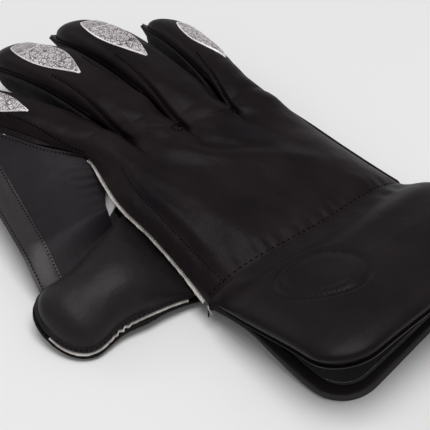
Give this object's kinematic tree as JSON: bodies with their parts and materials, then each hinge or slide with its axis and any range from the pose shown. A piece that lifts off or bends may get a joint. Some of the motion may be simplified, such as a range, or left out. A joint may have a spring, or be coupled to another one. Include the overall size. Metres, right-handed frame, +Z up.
{
  "type": "wicketkeeping glove",
  "caption": "Right hand wicketkeeping glove in black leather lying palm down, with a padded cuff, a thumb web, finger stalls and silver leaf shaped tip inserts.",
  "frame": {"origin": "on the palm's flat underside, in the middle of the hand, where the glove rests", "axes": "+Y from the cuff to the fingertips, -X towards the thumb, +Z up out of the back of the hand"},
  "size_m": [0.2175, 0.32, 0.0517],
  "materials": {
    "black_leather": "semi-gloss, finely grained",
    "web_leather": "soft satin",
    "rubber_face": "matt with small pimples",
    "silver_insert": "silver foil with a cracked scale texture",
    "raw_edge": "raw white cut edge",
    "liner_cloth": "light grey cloth",
    "lining_cloth": "dark lining"
  },
  "bodies": {
    "root": {"cuff_back_panel": "black_leather", "cuff_back_pad": "black_leather", "cuff_palm_panel": "black_leather", "cuff_palm_lining": "lining_cloth", "hand_back": "black_leather", "palm_face": "rubber_face", "index_back": "black_leather", "index_face": "rubber_face", "index_tip": "silver_insert", "middle_back": "black_leather", "middle_face": "rubber_face", "middle_tip": "silver_insert", "ring_back": "black_leather", "ring_face": "rubber_face", "ring_tip": "silver_insert", "little_back": "black_leather", "little_face": "rubber_face", "little_tip": "silver_insert", "thumb_back": "black_leather", "thumb_face": "rubber_face", "thumb_welt": "raw_edge", "web_panel": "web_leather", "web_band": "black_leather", "web_liner": "liner_cloth", "back_edge_welt": "raw_edge"}
  },
  "joints": []
}
